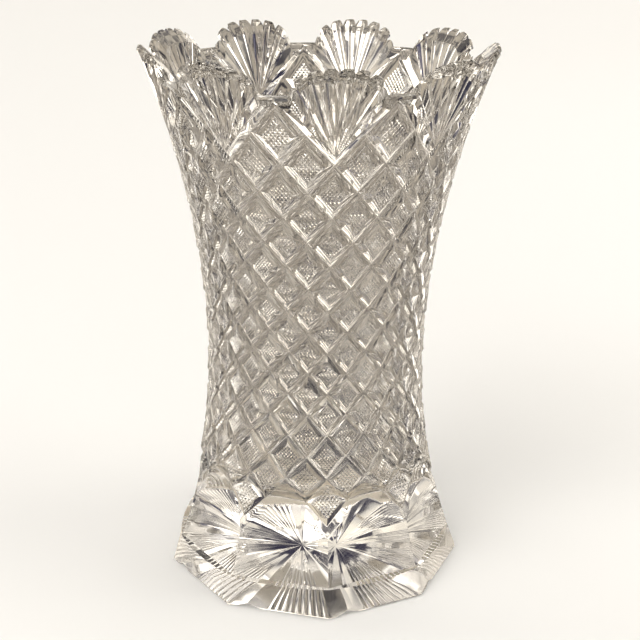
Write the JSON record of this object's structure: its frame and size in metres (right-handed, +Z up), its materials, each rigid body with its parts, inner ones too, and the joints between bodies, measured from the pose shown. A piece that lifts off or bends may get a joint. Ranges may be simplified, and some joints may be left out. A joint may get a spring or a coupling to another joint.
{
  "type": "flower vase",
  "caption": "Clear cut-glass corset vase with a diamond-cut body, fans under a scalloped rim and a flared star-cut foot; holds water and cut flowers",
  "frame": {"origin": "centre of the face the vase stands on", "axes": "+Z up along the vase's axis, -Y towards the middle of a rim lobe and a corner of the foot"},
  "size_m": [0.1584, 0.1572, 0.254],
  "materials": {
    "clear_lead_glass": "polished"
  },
  "bodies": {
    "root": {"glass_vase": "clear_lead_glass"}
  },
  "joints": []
}
